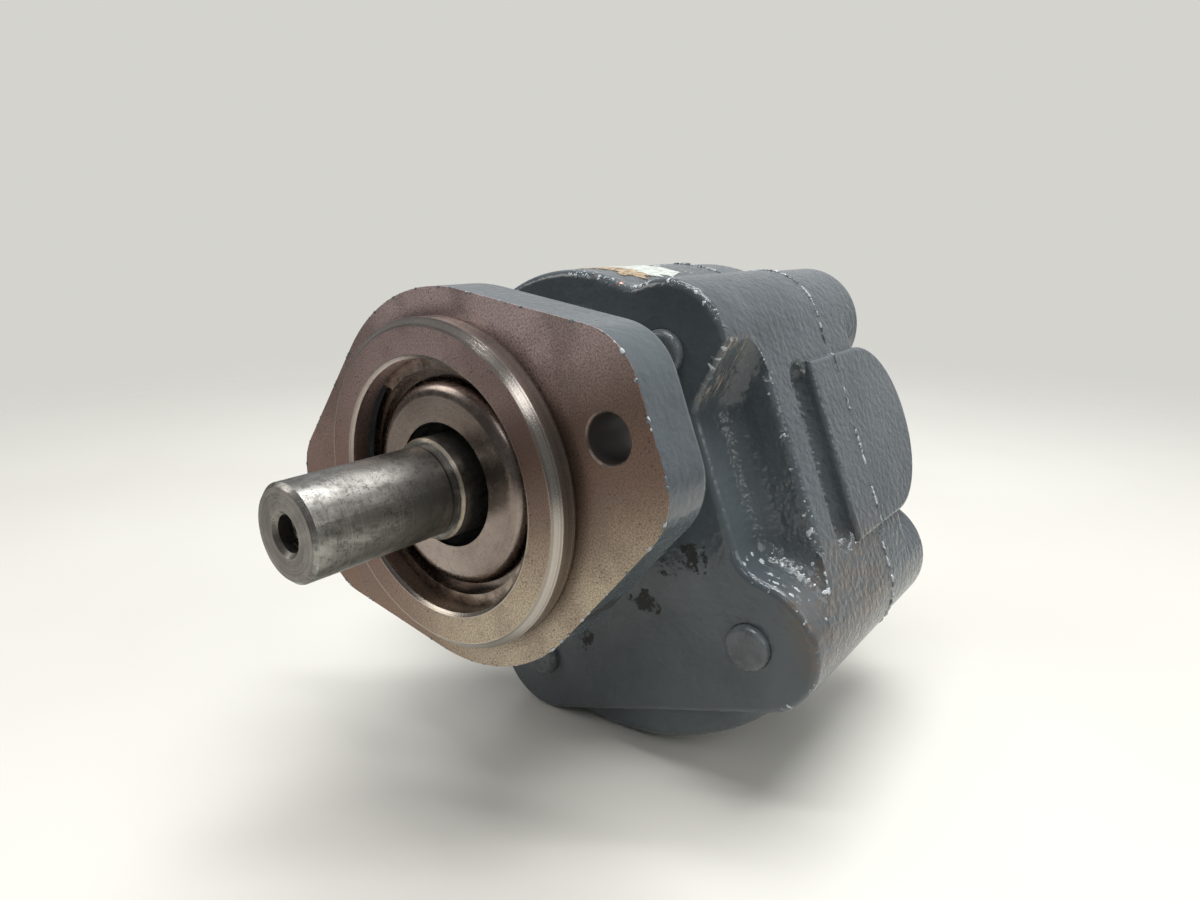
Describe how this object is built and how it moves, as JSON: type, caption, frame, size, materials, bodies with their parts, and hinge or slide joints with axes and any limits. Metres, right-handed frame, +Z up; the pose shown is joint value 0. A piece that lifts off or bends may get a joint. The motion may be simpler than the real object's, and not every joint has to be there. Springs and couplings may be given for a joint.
{
  "type": "hydraulic vane pump",
  "caption": "Fixed-displacement hydraulic vane pump: two-bolt flange, plain drive shaft, painted two-piece cast housing, vane cartridge inside.",
  "frame": {"origin": "centre of the pilot on the flange's mounting face", "axes": "+Y runs back along the shaft from the flange to the rear cover, so the shaft points to -Y; +Z is up as the pump lies on a bench on its belly and its lower left boss, which rolls the flange's bolt line 21.67 degrees from +X towards +Z; +X is to the right seen from the shaft's end"},
  "size_m": [0.1441, 0.1908, 0.1433],
  "materials": {
    "casting_paint": "glossy blue-grey paint over rough casting; flange face and pilot bare machined iron",
    "painted_fastener": "the same blue-grey paint over the bolts and washers",
    "shaft_steel": "ground steel with dark oil stains",
    "bearing_steel": "ground and polished",
    "cage_steel": "pressed sheet",
    "spring_steel": "dark oiled spring steel",
    "seal_case_steel": "satin pressed steel with a faint bronze tint",
    "seal_rubber": "matt black",
    "plate_bronze": "lapped bronze face",
    "cartridge_steel": "hardened and lapped"
  },
  "bodies": {
    "housing": {"front_housing": "casting_paint", "rear_cover": "casting_paint", "shaft_seal_case": "seal_case_steel", "shaft_seal_lip": "seal_rubber", "seal_garter_spring": "spring_steel", "seal_snap_ring": "spring_steel", "bearing_outer_race": "bearing_steel", "front_side_plate": "plate_bronze", "cam_ring": "cartridge_steel", "rear_pressure_plate": "plate_bronze", "plate_disc_spring": "spring_steel", "plate_seal": "seal_rubber", "cover_seal": "seal_rubber", "cartridge_pins": "cartridge_steel", "rear_bushing": "plate_bronze", "cover_dowels": "cartridge_steel", "cover_bolts": "painted_fastener", "cover_washers": "painted_fastener"},
    "shaft": {"drive_shaft": "shaft_steel", "bearing_inner_race": "bearing_steel", "bearing_clip": "spring_steel", "rotor": "cartridge_steel"},
    "ball_cage": {"bearing_cage": "cage_steel", "bearing_balls": "bearing_steel"},
    "vane_01": {"vane_01": "cartridge_steel"},
    "vane_02": {"vane_02": "cartridge_steel"},
    "vane_03": {"vane_03": "cartridge_steel"},
    "vane_04": {"vane_04": "cartridge_steel"},
    "vane_05": {"vane_05": "cartridge_steel"},
    "vane_06": {"vane_06": "cartridge_steel"},
    "vane_07": {"vane_07": "cartridge_steel"},
    "vane_08": {"vane_08": "cartridge_steel"},
    "vane_09": {"vane_09": "cartridge_steel"},
    "vane_10": {"vane_10": "cartridge_steel"},
    "vane_11": {"vane_11": "cartridge_steel"},
    "vane_12": {"vane_12": "cartridge_steel"}
  },
  "joints": [
    {"name": "shaft_spin", "type": "hinge", "parent": "housing", "child": "shaft", "pos_m": [0, 0, 0], "axis": [0, -1, 0], "continuous": true},
    {"name": "ball_cage_spin", "type": "hinge", "parent": "housing", "child": "ball_cage", "pos_m": [0, 0, 0], "axis": [0, -1, 0], "continuous": true},
    {"name": "vane_01_slide", "type": "slide", "parent": "shaft", "child": "vane_01", "axis": [0.8021, 0, 0.5972], "range_m": [-0.00055, 0.00265]},
    {"name": "vane_02_slide", "type": "slide", "parent": "shaft", "child": "vane_02", "axis": [0.396, 0, 0.9183], "range_m": [-0.00055, 0.0012]},
    {"name": "vane_03_slide", "type": "slide", "parent": "shaft", "child": "vane_03", "axis": [-0.1162, 0, 0.9932], "range_m": [-0.00055, 0.0001]},
    {"name": "vane_04_slide", "type": "slide", "parent": "shaft", "child": "vane_04", "axis": [-0.5972, 0, 0.8021], "range_m": [-0.00055, 0.0001]},
    {"name": "vane_05_slide", "type": "slide", "parent": "shaft", "child": "vane_05", "axis": [-0.9183, 0, 0.396], "range_m": [-0.00055, 0.0012]},
    {"name": "vane_06_slide", "type": "slide", "parent": "shaft", "child": "vane_06", "axis": [-0.9932, 0, -0.1162], "range_m": [-0.00055, 0.00265]},
    {"name": "vane_07_slide", "type": "slide", "parent": "shaft", "child": "vane_07", "axis": [-0.8021, 0, -0.5972], "range_m": [-0.00055, 0.00265]},
    {"name": "vane_08_slide", "type": "slide", "parent": "shaft", "child": "vane_08", "axis": [-0.396, 0, -0.9183], "range_m": [-0.00055, 0.0012]},
    {"name": "vane_09_slide", "type": "slide", "parent": "shaft", "child": "vane_09", "axis": [0.1162, 0, -0.9932], "range_m": [-0.00055, 0.0001]},
    {"name": "vane_10_slide", "type": "slide", "parent": "shaft", "child": "vane_10", "axis": [0.5972, 0, -0.8021], "range_m": [-0.00055, 0.0001]},
    {"name": "vane_11_slide", "type": "slide", "parent": "shaft", "child": "vane_11", "axis": [0.9183, 0, -0.396], "range_m": [-0.00055, 0.0012]},
    {"name": "vane_12_slide", "type": "slide", "parent": "shaft", "child": "vane_12", "axis": [0.9932, 0, 0.1162], "range_m": [-0.00055, 0.00265]}
  ],
  "couplings": [
    {"joint": "ball_cage_spin", "follows": "shaft_spin", "ratio": 0.375}
  ]
}
